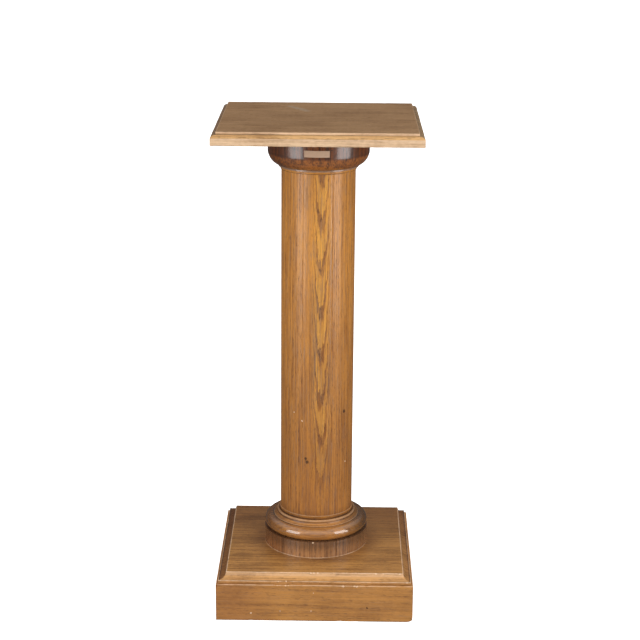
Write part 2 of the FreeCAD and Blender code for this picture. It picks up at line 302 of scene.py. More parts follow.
class Recipe:
    """The node tree of one material, or of the world."""

    def __init__(self, owner, coordinates="Object"):
        owner.use_nodes = True
        self.owner = owner
        self.tree = owner.node_tree
        self.tree.nodes.clear()
        self.place = self.node("ShaderNodeTexCoord", out=coordinates)
        parts = self.node("ShaderNodeSeparateXYZ", None, {"Vector": self.place})
        self.x, self.y, self.z = [Wire(self, part) for part in parts.socket.node.outputs]

    def node(self, kind, settings=None, sockets=None, out=0):
        """A node of that type: its settings are made first, then its sockets are fed."""
        node = self.tree.nodes.new(kind)
        for name, value in (settings or {}).items():
            setattr(node, name, value)
        for plug, value in (sockets or {}).items():
            if isinstance(value, Wire):
                self.tree.links.new(value.socket, node.inputs[plug])
            else:
                node.inputs[plug].default_value = value
        return Wire(self, node.outputs[out]) if node.outputs else None

    def vector(self, x, y, z):
        return self.node("ShaderNodeCombineXYZ", None, {"X": x, "Y": y, "Z": z})

    def cloud(self, vector, scale=1.0, detail=2.0, roughness=0.5):
        """Soft noise from about 0 to 1."""
        return self.node("ShaderNodeTexNoise", None,
                         {"Vector": vector, "Scale": scale, "Detail": detail,
                          "Roughness": roughness})

    def mix(self, factor, first, second, blend="MIX"):
        """Colour that goes from first to second as factor goes from 0 to 1."""
        return self.node(
            "ShaderNodeMix", {"data_type": "RGBA", "blend_type": blend},
            {0: factor, 6: opaque(first), 7: opaque(second)}, out=2)

    def finish(self, base, roughness, bump=None, bump_depth=0.0001, **fixed):
        """Ends the tree in a Principled shader; fixed values go on its own sockets."""
        sockets = {"Base Color": opaque(base), "Roughness": roughness}
        if bump is not None:
            sockets["Normal"] = self.node("ShaderNodeBump", None,
                                          {"Height": bump, "Distance": bump_depth})
        for name, value in fixed.items():
            sockets[name.replace("_", " ").title().replace("Ior", "IOR")] = value
        shader = self.node("ShaderNodeBsdfPrincipled", None, sockets)
        self.node("ShaderNodeOutputMaterial", None, {"Surface": shader})
        return self.owner


def opaque(value):
    """A colour with its alpha, or a wire as it is."""
    if isinstance(value, Wire):
        return value
    return (*value, 1.0)


# ---- Wood -----------------------------------------------------------------------------

def lengthways(recipe):
    """Across, through and along a board whose grain runs left to right."""
    return recipe.y, recipe.z, recipe.x


def crossways(recipe):
    """The same for a board whose grain runs from front to back."""
    return recipe.x, recipe.z, recipe.y


def on_edge(recipe):
    """A board on edge whose grain runs left to right."""
    return recipe.z, recipe.y, recipe.x


def on_edge_crossways(recipe):
    """A board on edge whose grain runs from front to back."""
    return recipe.z, recipe.x, recipe.y


def upright(angle):
    """A stave whose middle stands at angle, with its grain upright."""
    sine = math.sin(angle)
    cosine = math.cos(angle)

    def grain(recipe):
        across = recipe.y * cosine - recipe.x * sine
        through = recipe.x * cosine + recipe.y * sine
        return across, through, recipe.z
    return grain


def round_grain(recipe):
    """Round the axis, out from it and up it, for a turned ring of upright grain."""
    turned = recipe.node("ShaderNodeMath", {"operation": "ARCTAN2"},
                         {0: recipe.x, 1: -recipe.y})
    reach = round_reach(recipe)
    return turned * 0.07, reach, recipe.z


def straight(spacing, slant=0.0):
    """Straight figure: growth lines about that distance apart, leaning a little."""
    def figure(recipe, across, through, along):
        drift = recipe.cloud(recipe.vector(across * 45.0, through * 30.0, along * 2.0))
        return (across + through * 0.35 + along * slant) / spacing + drift * 3.2, None
    return figure


def flame(middle, lean, height, width, power, lift, fade):
    """Flame figure: nested tongues of that height and half width, points downwards."""
    def figure(recipe, across, through, along):
        sway = recipe.cloud(recipe.vector(0.0, 2.0, along * 13.0), 1.0, 3.0) - 0.5
        side = abs(across - middle - along * lean + sway * 0.012) / width
        step = recipe.cloud(recipe.vector(0.0, 7.0, along * 8.0)) - 0.5
        rings = (along - lift) / height + step * 0.15 - side ** power
        inside = (1.0 - side.rise(0.4, 1.0) * 0.45) * (1.0 - side.rise(1.0, 1.7))
        return rings, inside * (along.rise(*fade) * 0.75 + 0.25)
    return figure


def ring_mask(gap_reach, height, places):
    """1 close to any (reach, height, near, far) ring of a piece, 0 beyond far."""
    mask = None
    for distance, level, near, far in places:
        gap = ((gap_reach - distance) ** 2.0 + (height - level) ** 2.0).root()
        one = 1.0 - gap.rise(near, far)
        mask = one if mask is None else mask.larger(one)
    return mask


def square_reach(recipe):
    """Distance from the axis to the square outline that a point lies on."""
    return abs(recipe.x).larger(abs(recipe.y))


def round_reach(recipe):
    """Distance from the axis."""
    return (recipe.x ** 2.0 + recipe.y ** 2.0).root()


def spots(recipe, places):
    """1 inside any of the small (x, y, z, radius) spots, with ragged rims."""
    mask = None
    ragged = recipe.cloud(recipe.place, 700.0) - 0.5
    for x, y, z, radius in places:
        dx, dy, dz = recipe.x - x, recipe.y - y, recipe.z - z
        gap = (dx ** 2.0 + dy ** 2.0 + dz ** 2.0).root() + ragged * (radius * 1.4)
        one = 1.0 - gap.rise(radius * 0.7, radius * 1.1)
        mask = one if mask is None else mask.larger(one)
    return mask


def tint_and_shade(recipe, wood, tints_and_shading):
    """Darkens wood towards each tint, where all of its spans agree.

    A tint is a colour and then spans, each an axis and its places: two places make a
    ramp and four make a band. The axes are x, y, z, reach, round, left and right.
    """
    # Many tints are painted shade: darker sides, parts under overhangs and parts lower down
    for tint, *spans in tints_and_shading:
        amount = 1.0
        for axis, places in spans:
            value = getattr(recipe, axis)
            amount = value.rise(places[0], places[1]) * amount
            if len(places) == 4:
                amount = amount * (1.0 - value.rise(places[2], places[3]))
        wood = recipe.mix(amount, wood, tint, "MULTIPLY")
    return wood


class Look:
    """What makes one oak surface differ from another."""

    contrast = 0.35      # depth of the growth lines
    turn = 0.5           # share of a growth ring where its dark part starts
    ragged = 0.42        # unevenness of the growth lines
    streaks = 0.8
    pores = 0.6
    patina = 0.5         # strength of the broad cloudy patches
    ash = 0.3            # strength of the greyer threads
    seed = 0.0
    coat = None          # weight of the clear coat, or None for the finish's own
    wear = 0.6           # strength of the bare wood along the edges
    patchy = 0.5         # share of that wear which comes and goes
    edges = quirks = ()  # (reach, height, near, far) of rubbed rings, and of rings darkened by dirt and by painted shade
    marks = knocks = stains = ()     # (x, y, z, radius) of chips, pale and dark spots
    tints_and_shading = ()
    reach = staticmethod(square_reach)

    def __init__(self, pale, deep, roughness, **changes):
        self.pale = self.bright = pale
        self.deep = self.dark = deep
        self.roughness = roughness
        for name, value in changes.items():
            setattr(self, name, value)


def oak(name, grain, figure, look):
    """Stained oak: growth figure, fibres, pores, old patina, wear, stains, dirt and painted
    shade.
    """
    finish = bpy.context.scene.plinth_finish
    recipe = Recipe(bpy.data.materials.new(name))
    recipe.reach = look.reach(recipe)
    recipe.round = round_reach(recipe)
    recipe.left = -recipe.x - abs(recipe.y)
    recipe.right = recipe.x - abs(recipe.y)
    across, through, along = grain(recipe)
    shifted = along + look.seed
    wander = recipe.cloud(recipe.vector(across * 7.0 + look.seed, through * 7.0,
                                        shifted * 2.2), 1.0, 3.0) - 0.5
    drift = across + wander * 0.010

    def lines(width, run, detail=2.0, roughness=0.5):
        """Noise drawn out along the grain, about width across and run along."""
        cell = recipe.vector(drift / width + look.seed * 13.0, through / width,
                             shifted / run)
        return recipe.cloud(cell, 1.0, detail, roughness)

    # Growth lines, fibres and pores
    ragged = lines(0.0022, 0.014, 3.0, 0.6) - 0.5
    rings, inside = figure(recipe, drift, through, along)
    early = (rings + ragged * look.ragged).fraction()
    shade = early.rise(look.turn, look.turn + 0.22) * (1.0 - early.rise(0.95, 1.0))
    fibre = lines(0.0009, 0.035)
    thread = lines(0.0021, 0.075, 2.0)
    streak = lines(0.0048, 0.16, 3.0, 0.6)
    broad = lines(0.016, 0.35)
    patch = lines(0.03, 0.09, 4.0, 0.6)
    glow = broad.rise(0.35, 0.65)
    if inside is not None:
        shade = shade * inside
        glow = inside * (1.0 - early.rise(0.35, 0.7))
    pore = lines(0.0012, 0.0085, 1.0).rise(0.56, 0.66) * (0.35 + 0.65 * shade)
    ash = lines(0.0017, 0.03).rise(0.48, 0.72)
    mottle = recipe.cloud(recipe.place, 160.0, 3.0, 0.6)
    cloudy = recipe.cloud(recipe.place, 14.0, 3.0)

    # Colour
    pale = recipe.mix(glow, look.pale, look.bright)
    deep = recipe.mix(broad.rise(0.4, 0.7), look.deep, look.dark)
    tone = (0.25 + shade * look.contrast + (streak - 0.5) * look.streaks * 2.2
            + (thread - 0.5) * look.streaks * 2.4 + (fibre - 0.5) * look.streaks * 1.2
            + (cloudy - 0.5) * look.patina * 1.2 + (mottle - 0.5) * look.patina * 0.7
            + (patch - 0.5) * look.patina * 1.2)
    tone = tone.larger(0.0).smaller(1.0)
    wood = recipe.mix(tone, pale, deep)
    wood = recipe.mix(ash * look.ash, wood, finish.ash)
    wood = recipe.mix(pore * look.pores, wood, finish.pore)
    wood = tint_and_shade(recipe, wood, look.tints_and_shading)
    gloss = look.roughness + (fibre - 0.5) * 0.14 + pore * 0.2 + (cloudy - 0.5) * 0.14
    # Dirt and painted shade, wear and marks
    if look.quirks:
        # Painted shade, mixed with dirt: the wood goes dark near each quirk ring
        shade_and_dirt_mask = ring_mask(recipe.reach, recipe.z, look.quirks)
        shade_and_dirt_mask = shade_and_dirt_mask * (0.5 + 0.5 * cloudy.rise(0.3, 0.6))
        wood = recipe.mix(shade_and_dirt_mask * 0.85, wood, finish.grime_and_shade)
        gloss = gloss + shade_and_dirt_mask * 0.25
    if look.edges:
        rub = recipe.cloud(recipe.place, 60.0, 4.0, 0.65)
        bare = ring_mask(recipe.reach, recipe.z, look.edges)
        bare = bare * (1.0 - look.patchy * (1.0 - rub.rise(0.42, 0.58))) * look.wear
        wood = recipe.mix(bare, wood, finish.raw)
        gloss = gloss + bare * 0.4
    if look.marks:
        chipped = spots(recipe, look.marks)
        wood = recipe.mix(chipped * 0.9, wood, finish.raw)
        gloss = gloss + chipped * 0.25
    if look.knocks:
        wood = recipe.mix(spots(recipe, look.knocks) * 0.55, wood, finish.bloom)
    if look.stains:
        wood = recipe.mix(spots(recipe, look.stains) * 0.8, wood, finish.grime_and_shade)
    height = fibre * 0.35 + streak * 0.2 - pore * 1.0 - shade * 0.15
    coat = finish.varnish if look.coat is None else look.coat
    return recipe.finish(wood, gloss, height, PORE_DEPTH, ior=WOOD_IOR, coat_weight=coat,
                         coat_ior=COAT_IOR, coat_roughness=look.roughness * 0.55)


# ---- Mesh helpers ---------------------------------------------------------------------

def raise_face(bm, face, height):
    """Draws one face up by height and returns it in its new place."""
    drawn = bmesh.ops.extrude_face_region(bm, geom=[face])
    top = next(item for item in drawn["geom"] if isinstance(item, bmesh.types.BMFace))
    bmesh.ops.translate(bm, vec=UP * height, verts=top.verts)
    return top


def step_in(bm, face, inwards, upwards):
    """Draws one face in and up, leaving a sloping border."""
    bmesh.ops.inset_region(bm, faces=[face], thickness=inwards, depth=upwards,
                           use_even_offset=True, use_boundary=True)


def soften(bm, width):
    """Rounds the sharp convex edges."""
    bm.normal_update()
    sharp = [e for e in bm.edges if len(e.link_faces) == 2 and e.is_convex
             and e.calc_face_angle(0.0) > ROUNDED]
    bmesh.ops.bevel(bm, geom=sharp, offset=width, offset_type="OFFSET", affect="EDGES",
                    segments=3, profile=0.5, material=-1, clamp_overlap=True)


def slice_mesh(bm, axis, start, stop, cell):
    """Cuts the mesh across an axis every cell, so that wear has points to move."""
    normal = Vector((0, 0, 0))
    normal[axis] = 1.0
    count = max(1, round((stop - start) / cell))
    for i in range(1, count):
        point = normal * (start + (stop - start) * i / count)
        geometry = bm.verts[:] + bm.edges[:] + bm.faces[:]
        bmesh.ops.bisect_plane(bm, geom=geometry, plane_co=point, plane_no=normal)


def keep_between(bm, axis, start, stop, low, high):
    """Keeps the part of a closed mesh between two planes and closes the cuts."""
    normal = Vector((0, 0, 0))
    normal[axis] = 1.0
    for place, limit, direction in ((start, low, -normal), (stop, high, normal)):
        if abs(place - limit) < CLOSE:
            continue
        geometry = bm.verts[:] + bm.edges[:] + bm.faces[:]
        bmesh.ops.bisect_plane(bm, geom=geometry, plane_co=normal * place,
                               plane_no=direction, clear_outer=True)
        rim = [e for e in bm.edges if e.is_boundary]
        bmesh.ops.holes_fill(bm, edges=rim, sides=0)


def turn_outline(points, facets):
    """Mesh made by spinning a closed outline of (radius, height) points about the axis."""
    bm = bmesh.new()
    verts = [bm.verts.new((radius, 0, height)) for radius, height in points]
    edges = [bm.edges.new(pair) for pair in zip(verts, verts[1:] + verts[:1])]
    bmesh.ops.spin(bm, geom=verts + edges, cent=CENTRE, axis=UP, angle=FULL_TURN,
                   steps=facets, use_merge=True)
    bmesh.ops.remove_doubles(bm, verts=bm.verts, dist=CLOSE)
    bmesh.ops.recalc_face_normals(bm, faces=bm.faces)
    return bm


def quarter(start, end, bulging, steps=8):
    """Points after start along a quarter ellipse to end, as (across, height)."""
    points = []
    for i in range(1, steps + 1):
        angle = math.pi / 2 * i / steps
        rise, come = math.sin(angle), 1 - math.cos(angle)
        if not bulging:
            rise, come = come, rise
        points.append((start[0] + (end[0] - start[0]) * come,
                       start[1] + (end[1] - start[1]) * rise))
    return points


def arc_through(start, middle, end, steps=14):
    """Points after start along the circle through middle, to end."""
    a, b, c = [Vector(point) for point in (start, middle, end)]
    area = 2 * ((b - a).x * (c - a).y - (b - a).y * (c - a).x)
    u, v = (b - a).length_squared, (c - a).length_squared
    centre = a + Vector(((c - a).y * u - (b - a).y * v,
                         (b - a).x * v - (c - a).x * u)) / area
    first, last = [math.atan2(p.y - centre.y, p.x - centre.x) for p in (a, c)]
    radius = (a - centre).length
    return [(centre.x + radius * math.cos(first + (last - first) * i / steps),
             centre.y + radius * math.sin(first + (last - first) * i / steps))
            for i in range(1, steps + 1)]


def wear_down(bm, strength, ripple, seed):
    """Moves the points by a faint ripple, and nibbles the rounded arrises."""
    bm.normal_update()
    moves = []
    for vert in bm.verts:
        place = vert.co + Vector((seed, seed * 0.7, -seed))
        shift = ripple * noise.noise(place * 28.0)
        bend = max((e.calc_face_angle(0.0) for e in vert.link_edges), default=0.0)
        if bend > math.radians(12):
            bite = noise.noise(place * 120.0) + 0.6 * noise.noise(place * 310.0)
            rare = max(0.0, noise.noise(place * 33.0) - 0.05)
            shift -= strength * (max(0.0, bite - 0.25) + 2.5 * rare * max(0.0, bite))
        moves.append(shift)
    for vert, shift in zip(bm.verts, moves):
        vert.co += vert.normal * shift


def dent(bm, places, depth):
    """Small chips: refines the mesh near each (x, y, z, radius) and sinks it there."""
    for x, y, z, radius in places:
        centre = Vector((x, y, z))
        near = [e for e in bm.edges
                if ((e.verts[0].co + e.verts[1].co) / 2 - centre).length < radius * 2.2]
        if near:
            bmesh.ops.subdivide_edges(bm, edges=near, cuts=2, use_grid_fill=True)
        bm.normal_update()
        for vert in bm.verts:
            gap = (vert.co - centre).length / radius
            if gap < 1.4:
                rough = 0.75 + 0.5 * noise.noise(vert.co * 900.0)
                vert.co -= vert.normal * depth * rough * max(0.0, 1 - (gap / 1.4) ** 2)


def round_corner(bm, corner, inwards, reach):
    """Wears one corner away: points nearer than reach move in."""
    for vert in bm.verts:
        near = 1 - (vert.co - corner).length / reach
        if near > 0:
            vert.co += inwards * reach * 0.22 * near ** 2


def add_piece(name, bm, material, slot, *nodes):
    """Makes a finished piece of a bmesh: it rides on the root and stands for its nodes."""
    mesh = bpy.data.meshes.new(name)
    bm.to_mesh(mesh)
    bm.free()
    mesh.shade_smooth()
    mesh.set_sharp_from_angle(angle=SHARP)
    piece = bpy.data.objects.new(name, mesh)
    bpy.context.scene.collection.objects.link(piece)
    mesh.materials.append(material)
    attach(piece, "root")
    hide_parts(*nodes)


def dress(material, *nodes):
    """Gives nodes that stay as they are in the frame a better material."""
    for node in nodes:
        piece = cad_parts[node]
        for material_slot in piece.material_slots:
            material_slot.material = material


# ---- Boards ---------------------------------------------------------------------------

def square_blank(low, high):
    """Square face at the underside of a panel."""
    bm = bmesh.new()
    bmesh.ops.create_grid(bm, x_segments=1, y_segments=1, size=(high.x - low.x) / 2)
    bmesh.ops.translate(bm, vec=UP * low.z, verts=bm.verts)
    bm.faces.ensure_lookup_table()
    return bm, bm.faces[0]


def follow(bm, face, points):
    """Draws a panel's upper face in and up along (inwards, upwards) points."""
    here = (0.0, 0.0)
    for point in points:
        step_in(bm, face, point[0] - here[0], point[1] - here[1])
        here = point


def add_boards(nodes, panel, low, high, materials, slot, sizes, nibble, marks=()):
    """Cuts a panel on the glue lines of its boards and adds each board."""
    for node, material in zip(nodes, materials):
        near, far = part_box(node)
        board = panel.copy()
        keep_between(board, Y, near.y, far.y, low.y, high.y)
        slice_mesh(board, X, low.x, high.x, sizes.cell)
        slice_mesh(board, Y, near.y, far.y, sizes.cell)
        wear_down(board, nibble, sizes.ripple, 0.31)
        dent(board, [m for m in marks if near.y <= m[1] <= far.y], BOARD_CHIP)
        add_piece(node.replace("board", "plank"), board, material, slot, node)
    panel.free()


class PLINTH_OT_top(bpy.types.Operator):
    """Adds the three boards of the moulded top"""

    bl_idname = "plinth.top"
    bl_label = "Moulded top"

    def execute(self, context):
        sizes = context.scene.plinth_boards
        finish = context.scene.plinth_finish
        low, high = TOP
        half = high.x
        ovolo_top = high.z - sizes.top_fillet
        face_top = ovolo_top - sizes.top_ovolo_height
        flat = half - sizes.top_ovolo_width - sizes.top_set_back
        panel, blank = square_blank(low, high)
        face = raise_face(panel, blank, face_top - low.z)
        follow(panel, face, quarter((0.0, 0.0), (sizes.top_ovolo_width,
                                                 sizes.top_ovolo_height), True))
        step_in(panel, face, sizes.top_set_back, 0.0)
        raise_face(panel, face, sizes.top_fillet)
        bmesh.ops.recalc_face_normals(panel, faces=panel.faces)
        soften(panel, sizes.arris)
        edges = [(flat, high.z, 0.0004, 0.0016), (half, face_top, 0.0003, 0.0014)]
        # Painted shade and dirt in the corner at the foot of the fillet
        quirks = [(flat, ovolo_top, 0.0001, 0.0011)]
        amber = (face_top + 0.0006, face_top + 0.0016, ovolo_top, ovolo_top + 0.0008)
        moulding = ("reach", (flat - 0.0004, flat + 0.0006))
        # The flat top darker than the moulded edge, partly a greyer tone and partly painted
        # shade where the front light only grazes it; amber on the ovolo; painted shade on the
        # left and right sides of the moulding
        tints_and_shading = [((0.58, 0.48, 0.36), ("z", (high.z - 0.0008, high.z - 0.0002))),
                 ((0.97, 0.82, 0.54), ("z", amber)),
                 ((0.38, 0.40, 0.55), ("left", MITRE), moulding),
                 ((0.48, 0.54, 0.70), ("right", MITRE), moulding)]
        knocks = [(-0.046, 0.102, high.z, 0.006), (-0.039, 0.091, high.z, 0.007),
                  (-0.032, 0.079, high.z, 0.008), (-0.025, 0.067, high.z, 0.007),
                  (-0.019, 0.056, high.z, 0.006)]
        materials = []
        for i, name in enumerate(("front", "middle", "rear")):
            look = Look(finish.top_pale, finish.top_deep, finish.satin + 0.12,
                        contrast=0.25, streaks=0.8, pores=0.3, patina=1.4, edges=edges,
                        quirks=quirks, tints_and_shading=tints_and_shading, seed=1.7 + i * 2.3, wear=0.5,
                        patchy=0.4, coat=0.1, knocks=knocks)
            materials.append(oak("top_oak_" + name, lengthways, straight(0.011, 0.02), look))
        add_boards(TOP_BOARDS, panel, low, high, materials, "top_oak", sizes,
                   sizes.nibble * 0.6)
        return {"FINISHED"}


class PLINTH_OT_base(bpy.types.Operator):
    """Adds the three boards of the base, hollowed to a cove round the edge"""

    bl_idname = "plinth.base"
    bl_label = "Moulded base boards"

    def execute(self, context):
        sizes = context.scene.plinth_boards
        finish = context.scene.plinth_finish
        low, high = BASE
        half = high.x
        face_top = low.z + sizes.base_face
        cove_foot = half - sizes.base_set_back
        flat = cove_foot - sizes.base_cove
        panel, blank = square_blank(low, high)
        face = raise_face(panel, blank, sizes.base_face)
        step_in(panel, face, sizes.base_set_back, 0.0)
        follow(panel, face, quarter((0.0, 0.0), (sizes.base_cove, high.z - face_top), False,
                                    12))
        bmesh.ops.recalc_face_normals(panel, faces=panel.faces)
        soften(panel, sizes.arris)
        chips = [(-0.0056, -flat, high.z, 0.0022), (-0.001, -flat, high.z, 0.0022),
                 (0.0053, -flat, high.z, 0.002), (0.0951, -flat, high.z, 0.002),
                 (0.1059, -flat, high.z, 0.0016), (0.1322, -flat, high.z, 0.002),
                 (-0.0439, -half, face_top, 0.0019), (-0.0562, -half, face_top, 0.0013),
                 (0.1428, -half, face_top, 0.0016)]
        edges = [(flat, high.z, 0.0004, 0.0016), (half, face_top, 0.0002, 0.0012)]
        # Painted shade lines, with dirt, at the step under the cove and along the underside
        # edge
        quirks = [(cove_foot - 0.0003, face_top, 0.0001, 0.0012),
                  (half, low.z - 0.0002, 0.0001, 0.0011)]
        moulding = ("reach", (flat - 0.0006, flat + 0.0008))
        cove = high.z - face_top
        upper_face = ("z", (high.z - 0.0012, high.z - 0.0003))
        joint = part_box("base_board_front")[1].y
        beside_joint = ("y", (joint - 0.0005, joint, joint + 0.0012, joint + 0.0030))
        # The upper face darker and more golden than the cove, partly its tone and partly
        # painted shade where the front light grazes it; the lower cove more golden; the face
        # under the cove darker; painted shadow on the flat round the drum; darker towards the
        # back; painted shade on the left and right sides of the moulding; a dark line beside
        # the glue joint
        tints_and_shading = [((0.775, 0.635, 0.36), upper_face),
                 ((0.93, 0.83, 0.60), ("z", (face_top + cove * 0.55, face_top + cove * 0.4))),
                 ((0.88, 0.82, 0.78), ("z", (face_top + 0.0006, face_top - 0.0002))),
                 ((0.70, 0.64, 0.60), ("round", (0.118, DRUM_RADIUS)), upper_face),
                 ((0.64, 0.58, 0.64), ("y", (-0.06, 0.13))),
                 ((0.42, 0.34, 0.28), ("left", MITRE), moulding),
                 ((0.75, 0.68, 0.60), ("right", MITRE), moulding),
                 ((0.74, 0.68, 0.62), beside_joint, upper_face)]
        materials = []
        for i, name in enumerate(("front", "middle", "rear")):
            faded = 1.06 - 0.06 * i
            look = Look([c * faded for c in finish.cove_pale],
                        [c * faded for c in finish.cove_deep], finish.satin - 0.06,
                        contrast=0.2, streaks=0.7, pores=0.3, patina=1.5, edges=edges,
                        quirks=quirks, tints_and_shading=tints_and_shading, marks=chips, seed=4.1 + i * 3.7,
                        wear=0.9, patchy=0.4)
            materials.append(oak("base_oak_" + name, lengthways, straight(0.010, 0.03), look))
        add_boards(BASE_BOARDS, panel, low, high, materials, "base_oak", sizes,
                   sizes.nibble, chips)
        return {"FINISHED"}


class PLINTH_OT_box(bpy.types.Operator):
    """Adds the four mitred boards of the box"""

    bl_idname = "plinth.box"
    bl_label = "Box boards"

    def execute(self, context):
        sizes = context.scene.plinth_boards
        finish = context.scene.plinth_finish
        low, high = BOX
        outer = high.x
        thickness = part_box("plinth_board_front")[1].y - low.y
        inner = outer - thickness
        chips = [(-0.0577, -outer, high.z, 0.0014), (-0.044, -outer, high.z, 0.0018),
                 (-0.040, -outer, high.z, 0.0014), (0.0441, -outer, high.z, 0.0026),
                 (0.0657, -outer, high.z, 0.0027), (0.0625, -outer, high.z, 0.0024)]
        nicks = [(-0.0979, -outer, 0.0126, 0.0014), (-0.0049, -outer, 0.0172, 0.0011),
                 (-0.053, -outer, 0.0165, 0.0009), (-0.0013, -outer, 0.0475, 0.0009)]
        stain = [(0.0817, -outer, 0.0234, 0.0017)]
        for turn, node in enumerate(BOX_BOARDS):
            bm = bmesh.new()
            corners = [(-outer, -outer), (outer, -outer), (inner, -inner), (-inner, -inner)]
            face = bm.faces.new([bm.verts.new((x, y, low.z)) for x, y in corners])
            raise_face(bm, face, high.z - low.z)
            bmesh.ops.recalc_face_normals(bm, faces=bm.faces)
            worked = [e for e in bm.edges if all(v.co.y < -outer + CLOSE for v in e.verts)]
            bmesh.ops.bevel(bm, geom=worked, offset=sizes.box_arris, affect="EDGES",
                            segments=3, profile=0.5, material=-1, clamp_overlap=True)
            slice_mesh(bm, X, low.x, high.x, sizes.cell)
            slice_mesh(bm, Z, low.z, high.z, sizes.cell)
            wear_down(bm, sizes.nibble, sizes.ripple, 0.9 + turn)
            for vert in bm.verts:
                vert.co.z = max(vert.co.z, low.z)
            if turn == 0:
                dent(bm, chips, BOX_CHIP)
            bmesh.ops.rotate(bm, cent=CENTRE, verts=bm.verts,
                             matrix=Matrix.Rotation(turn * math.pi / 2, 3, "Z"))
            round_corner(bm, Vector((outer, -outer, low.z)), Vector((-1, 1, 1)),
                         sizes.worn_corner)
            look = Look(finish.base_pale, finish.base_deep, finish.satin, contrast=0.08,
                        streaks=0.38, pores=0.3, patina=0.9,
                        edges=[(outer, high.z, 0.0003, 0.0016)],
                        # Painted shade, with dirt, along the foot of the box at the floor; the
                        # front darker towards the left
                        quirks=[(outer, low.z, 0.0002, 0.0018)], seed=7.3 + turn * 2.9,
                        tints_and_shading=[((0.80, 0.76, 0.82), ("x", (-0.04, -0.13)))],
                        wear=0.6, patchy=0.55, marks=chips + nicks if turn == 0 else (),
                        stains=stain if turn == 0 else ())
            grain = on_edge if turn % 2 == 0 else on_edge_crossways
            material = oak("box_oak_%d" % (turn + 1), grain, straight(0.010, 0.03), look)
            add_piece(node.replace("board", "plank"), bm, material, "base_oak", node)
        return {"FINISHED"}


# ---- Turned and staved pieces ---------------------------------------------------------

class PLINTH_OT_capital(bpy.types.Operator):
    """Adds the turned capital"""

    bl_idname = "plinth.capital"
    bl_label = "Capital"

    def execute(self, context):
        sizes = context.scene.plinth_turnings
        finish = context.scene.plinth_finish
        low, high = CAPITAL
        fillet_top = low.z + sizes.capital_fillet
        echinus_top = fillet_top + sizes.echinus
        foot = (sizes.capital_fillet_radius, fillet_top)
        full = sizes.echinus_fullness
        middle = (foot[0] + (CAPITAL_RADIUS - foot[0]) * full,
                  echinus_top + (fillet_top - echinus_top) * full)
        curve = arc_through(foot, middle, (CAPITAL_RADIUS, echinus_top))
        outline = ([(BORE, low.z), (foot[0], low.z), foot] + curve
                   + [(CAPITAL_RADIUS, high.z), (BORE, high.z)])
        bm = turn_outline(outline, sizes.turns)
        soften(bm, sizes.arris)
        nail = [(0.0205, -0.0755, 0.7248, 0.0013)]
        look = Look(finish.capital_pale, finish.capital_deep, finish.gloss + 0.16,
                    contrast=0.25, streaks=1.6, pores=0.6, patina=1.1, reach=round_reach,
                    # Painted shade and dirt in the crease above the fillet, and painted shadow
                    # of the top on the face below it
                    quirks=[(foot[0], fillet_top, 0.0002, 0.0022),
                            (CAPITAL_RADIUS, high.z, 0.001, 0.009)],
                    edges=[(foot[0], low.z + 0.0008, 0.0012, 0.0019)], wear=0.25,
                    patchy=0.15, stains=nail, seed=2.9, coat=0.7, ash=0.1,
                    # The face under the top darker, partly its wood and partly painted shade; a
                    # painted shade line where the echinus meets the face; painted shade on the
                    # left side
                    tints_and_shading=[((0.50, 0.42, 0.34),
                            ("z", (echinus_top - 0.006, echinus_top + 0.004))),
                           ((0.62, 0.58, 0.56),
                            ("z", (echinus_top - 0.004, echinus_top - 0.001,
                                   echinus_top + 0.0005, echinus_top + 0.003))),
                           ((0.66, 0.60, 0.52), ("x", (-0.02, -0.07)))])
        material = oak("capital_oak", round_grain, straight(0.009, 0.02), look)
        add_piece("capital_turning", bm, material, "capital_oak", "capital")
        return {"FINISHED"}


class PLINTH_OT_bands(bpy.types.Operator):
    """Adds the thin rings round the head and the foot of the shaft"""

    bl_idname = "plinth.bands"
    bl_label = "Neck and foot bands"

    def execute(self, context):
        sizes = context.scene.plinth_turnings
        finish = context.scene.plinth_finish
        # Painted shadow, with dirt, along the lower edge of each band
        head = [(NECK_RADIUS, NECK[0].z, 0.0002, 0.0014)]
        foot = [(BAND_RADIUS, BAND[0].z, 0.0006, 0.0042)]
        for node, (low, high), radius, edge, quirks, name in (
                ("neck_band", NECK, NECK_RADIUS, NECK[1].z, head, "neck_ring"),
                ("foot_band", BAND, BAND_RADIUS, BAND[1].z, foot, "foot_ring")):
            outline = [(BORE, low.z), (radius, low.z), (radius, high.z), (BORE, high.z)]
            bm = turn_outline(outline, sizes.turns)
            soften(bm, sizes.arris * 0.6)
            look = Look(finish.shaft_pale, finish.shaft_deep, finish.gloss + 0.08,
                        contrast=0.15, streaks=0.5, reach=round_reach, quirks=quirks,
                        edges=[(radius, edge, 0.0003, 0.0012)], wear=0.3, patchy=0.3,
                        seed=5.5 + high.z, coat=0.0,
                        # Painted shade: the band at the foot of the shaft is darker
                        tints_and_shading=[((0.58, 0.54, 0.52), ("z", (0.30, 0.15)))])
            material = oak(name + "_oak", lengthways, straight(0.008), look)
            add_piece(name, bm, material, "shaft_oak", node)
        return {"FINISHED"}


